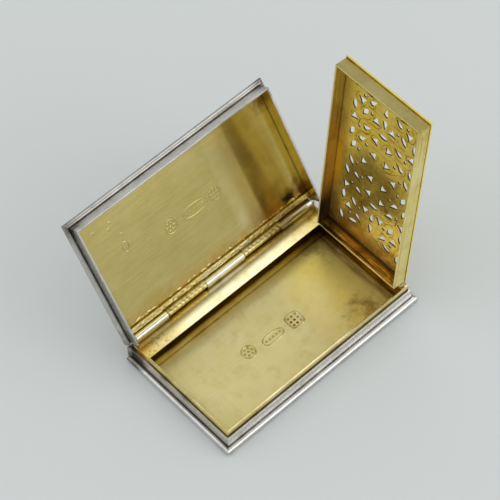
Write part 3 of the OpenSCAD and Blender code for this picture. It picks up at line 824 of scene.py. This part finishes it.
def grille_materials():
    """Materials of the nodes of the grille: the pierced plate, its flanges and its hinge tube."""
    # Painted highlight along the flanges' free edges.
    edge = (facing(DOWN), CREAM)
    # Painted light on the flange faces that look towards the lid, so that the lid mirrors them pale.
    back = (facing(BACK), CREAM)
    long_streaks = streaks((60.0, 2500.0, 2500.0), 0.52, 0.72)
    cross_streaks = streaks((2500.0, 60.0, 2500.0), 0.52, 0.70)
    worn_end = (both(spot((-18.4, -10.2, 4.2), 5.0, soft=0.9), patchy(0.4, 0.6, most=0.8, scale=700.0)),
                DEEP_GILT)
    front_layers = [(long_streaks, DEEP_GILT), worn_end, back, edge]
    rear_layers = [(ramp("X", -12.0, -4.0), RUST_GILT), (long_streaks, BROWN), (ramp("X", 8.0, 13.0), SOOT_AND_SHADE),
                   back, edge]
    hinge_glow = both(patchy(0.48, 0.6, scale=320.0), fall("Z", 4.2, 4.8))
    hinge_layers = [(patchy(0.42, 0.58, scale=260.0), ORANGE), (hinge_glow, GLOW),
                    (streaks((2200.0, 90.0, 1800.0), 0.46, 0.56), SOOT_AND_SHADE), (ramp("Z", 4.4, 5.0), SOOT_AND_SHADE), edge]
    return {
        "grille_plate": grille_gilt(),
        "grille_hinge_grille_knuckle": metal("grille_knuckle_gilt", "grille", EDGE_GILT, GILT_FINISH),
        "grille_front_flange": metal("front_flange_gilt", "grille", FLANGE_GILT,
                                     FLANGE_FINISH._replace(metallic=0.7), front_layers),
        "grille_free_end_flange": metal("end_flange_gilt", "grille", END_GILT, FLANGE_FINISH,
                                        [(cross_streaks, DEEP_GILT), edge]),
        "grille_rear_flange": metal("rear_flange_gilt", "grille", DEEP_GILT,
                                    FLANGE_FINISH._replace(metallic=0.55), rear_layers),
        "grille_hinge_end_flange": metal("hinge_flange_gilt", "grille", BROWN,
                                         FLANGE_FINISH._replace(metallic=0.8), hinge_layers),
    }


def round_edges(node, width):
    """Rounds the sharp edges of a frame node with modifiers; its mesh stays as it is."""
    weld = node.modifiers.new("weld", "WELD")
    weld.merge_threshold = WELD
    flat = node.modifiers.new("flat", "DECIMATE")
    flat.decimate_type = "DISSOLVE"
    flat.angle_limit = COPLANAR
    bevel = node.modifiers.new("bevel", "BEVEL")
    bevel.width = width
    bevel.segments = EDGE_SEGMENTS
    bevel.limit_method = "ANGLE"
    bevel.angle_limit = SHARP
    bevel.use_clamp_overlap = True
    normals = node.modifiers.new("normals", "WEIGHTED_NORMAL")
    normals.weight = NORMAL_WEIGHT


def dress_nodes():
    """Gives every frame node its material and rounded edges."""
    materials = {**base_materials(), **lid_materials(), **grille_materials()}
    for name, node in frame["nodes"].items():
        node.data.materials.clear()
        node.data.materials.append(materials[name])
        round_edges(node, PIERCED_EDGE_ROUND if name == "grille_plate" else EDGE_ROUND)


class Relief:
    """Small raised marks on one flat face of a body, gathered into one piece. Places are in mm, closed."""

    def __init__(self, body, level, side):
        self.body, self.level, self.side = body, level, side
        self.turn = opening(body)
        self.points, self.faces = [], []

    def place(self, x, y, height=0.0):
        """Where a place on the face is at rest."""
        return self.turn @ Vector((x * MM, y * MM, self.level + self.side * height * MM))

    def add(self, rows, closed_rows):
        """Adds a grid of points given as rows of (x, y, height)."""
        start, wide = len(self.points), len(rows[0])
        self.points += [self.place(*point) for row in rows for point in row]
        for i in range(len(rows) - 1):
            for j in range(wide if closed_rows else wide - 1):
                k = (j + 1) % wide
                face = [i * wide + j, i * wide + k, (i + 1) * wide + k, (i + 1) * wide + j]
                face = face if self.side > 0 else face[::-1]
                self.faces.append([start + f for f in face])

    def dome(self, x, y, radius_x, radius_y, height, turn=0.0):
        """Low oval bump."""
        rows = []
        for ring in range(DOME_RINGS + 1):
            rise = math.radians(90 * ring / DOME_RINGS)
            row = []
            for step in range(DOME_SIDES):
                a = math.tau * step / DOME_SIDES
                u = radius_x * math.cos(a) * math.cos(rise)
                v = radius_y * math.sin(a) * math.cos(rise)
                row.append((x + u * math.cos(turn) - v * math.sin(turn),
                            y + u * math.sin(turn) + v * math.cos(turn), height * math.sin(rise)))
            rows.append(row)
        self.add(rows, True)

    def rim(self, x, y, radius_x, radius_y, squareness, width, height):
        """Raised outline of a blank punch, from round to nearly square."""
        rows = []
        for inset, rise in RIM_SECTION:
            row = []
            for step in range(RIM_SIDES):
                a = math.tau * step / RIM_SIDES
                power = abs(math.cos(a)) ** squareness + abs(math.sin(a)) ** squareness
                reach = power ** (-1 / squareness)
                row.append((x + (radius_x - width * inset) * reach * math.cos(a),
                            y + (radius_y - width * inset) * reach * math.sin(a), height * rise))
            rows.append(row)
        self.add(rows, True)

    def stroke(self, path, width, height):
        """Low ridge along a path of (x, y), tapered at both ends."""
        rows = []
        for i, (x, y) in enumerate(path):
            before, after = path[max(i - 1, 0)], path[min(i + 1, len(path) - 1)]
            along = Vector((after[0] - before[0], after[1] - before[1])).normalized()
            swell = math.sin(math.pi * (i + 0.5) / len(path))
            half = 0.5 * width * (STROKE_TIP + (1 - STROKE_TIP) * swell)
            rows.append([(x + half * along.y, y - half * along.x, 0.0), (x, y, height),
                         (x - half * along.y, y + half * along.x, 0.0)])
        self.add(rows, False)

    def punch(self, mark, height):
        """Blank punch: an outline with plain dots in it."""
        self.rim(mark.x, mark.y, mark.radius_x, mark.radius_y, mark.squareness, PUNCH_RIM, height)
        for u, v in mark.dots:
            self.dome(mark.x + u * mark.radius_x, mark.y + v * mark.radius_y, PUNCH_DOT, PUNCH_DOT,
                      DOT_RISE * height)

    def make(self, name, material):
        """Makes one piece of the marks, which moves with their body."""
        mesh = bpy.data.meshes.new(name)
        mesh.from_pydata(self.points, [], self.faces)
        mesh.shade_smooth()
        mesh.materials.append(material)
        piece = bpy.data.objects.new(name, mesh)
        bpy.context.collection.objects.link(piece)
        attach(piece, self.body)


def make_floor_punches():
    """Blank punches on the floor, the last one darkened."""
    relief = Relief("base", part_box("base_plate")[1].z, 1)
    for mark in FLOOR_PUNCHES:
        relief.punch(mark, FLOOR_PUNCH_HEIGHT)
    darkened = (both(spot((3.0, -1.4, FLOOR_Z), 1.7, soft=0.6),
                     patchy(0.3, 0.5, least=0.4, scale=900.0)), BROWN)
    gilt = metal("floor_punch_gilt", "base", KNUCKLE_GILT, PUNCH_FINISH, [darkened])
    relief.make("floor_punches", gilt)


def make_lid_punches():
    """Blank punches inside the lid, with a worn one and a few dents near its left end."""
    relief = Relief("lid", closed_box("lid_plate")[0].z, -1)
    for mark in LID_PUNCHES:
        relief.punch(mark, LID_PUNCH_HEIGHT)
    relief.punch(WORN_PUNCH, WORN_PUNCH_HEIGHT)
    for x, y in DENTS:
        relief.dome(x, y, *DENT_SIZE)
    worn = (fall("X", -11.0, -10.0), END_GILT)
    relief.make("lid_punches", metal("lid_punch_gilt", "lid", LID_GILT, LID_FINISH, [worn]))


def make_solder():
    """Specks of solder along the foot of the hinge strip inside the lid and on the strip."""
    dice = random.Random(SOLDER_SEED)
    low, high = closed_box("lid_hinge_strip")
    gilt = metal("solder_gilt", "lid", KNUCKLE_GILT, SOLDER_FINISH)
    front = low.y / MM
    rows = (("hinge_solder_foot", closed_box("lid_plate")[0].z, *FOOT_ROW),
            ("hinge_solder_strip", low.z, *STRIP_ROW))
    for name, level, nearest, furthest, largest in rows:
        specks = Relief("lid", level, -1)
        x = low.x / MM + SOLDER_INSET
        while x < high.x / MM - SOLDER_INSET:
            size = dice.uniform(*SPECK_SHARE) ** SPECK_SKEW * largest
            y = dice.uniform(front + nearest, front + furthest)
            length = size * dice.uniform(*SPECK_STRETCH)
            specks.dome(x, y, length, size, size * SPECK_FLATNESS, dice.uniform(*SPECK_TURN))
            x += dice.uniform(*SPECK_STEP)
        specks.make(name, gilt)


def bend(start, middle, end, steps=24):
    """Curve from start to end, pulled towards middle."""
    path = []
    for i in range(steps + 1):
        t = i / steps
        path.append(tuple((1 - t) ** 2 * a + 2 * t * (1 - t) * b + t * t * c
                          for a, b, c in zip(start, middle, end)))
    return path


def scroll(x, y, radius, first, steps=40):
    """Spiral that closes in on a place."""
    path = []
    for i in range(steps + 1):
        t = i / steps
        a = math.radians(first) + math.tau * SCROLL_TURNS * t
        reach = radius * (1 - SCROLL_CLOSING * t)
        path.append((x + reach * math.cos(a), y + reach * math.sin(a)))
    return path


def runs_on(tree, relief, path):
    """Parts of a path that have metal under them and all round."""
    down = relief.turn.to_3x3() @ Vector((0, 0, -relief.side))
    around = ((0, 0), (METAL_REACH, 0), (-METAL_REACH, 0), (0, METAL_REACH), (0, -METAL_REACH))
    runs, run = [], []
    for x, y in path:
        held = True
        for u, v in around:
            start = relief.place(x + u, y + v) - down * METAL_PROBE
            held = held and tree.ray_cast(start, down, 2 * METAL_PROBE)[0] is not None
        if held:
            run.append((x, y))
        elif run:
            runs.append(run)
            run = []
    return [r for r in runs + [run] if len(r) >= SHORTEST_RUN]


def make_engraving():
    """Engraved stems and scrolls between the holes of the grille, on both faces."""
    paths = [bend(*stem) for stem in STEMS] + [scroll(*spiral) for spiral in SCROLLS]
    low, high = closed_box("grille_plate")
    mesh = frame["nodes"]["grille_plate"].data
    tree = BVHTree.FromPolygons([v.co for v in mesh.vertices], [p.vertices for p in mesh.polygons])
    middle_x, middle_y = PATTERN_MIDDLE
    dark = metal("engraving_dark", "grille", BROWN, ENGRAVED_FINISH)
    for name, level, side in (("inner", low.z, -1), ("outer", high.z, 1)):
        lines = Relief("grille", level, side)
        for path in paths:
            for sx, sy in QUARTERS:
                placed = [(middle_x + sx * x, middle_y + sy * y) for x, y in path]
                for run in runs_on(tree, lines, placed):
                    lines.stroke(run, ENGRAVED_WIDTH, ENGRAVED_HEIGHT)
        lines.make(f"grille_engraving_{name}", dark)


make_camera()
make_world()
make_floor()
for soft_box in LAMPS:
    make_lamp(soft_box)
dress_nodes()
make_floor_punches()
make_lid_punches()
make_solder()
make_engraving()
bpy.context.scene.view_settings.view_transform = "Standard"
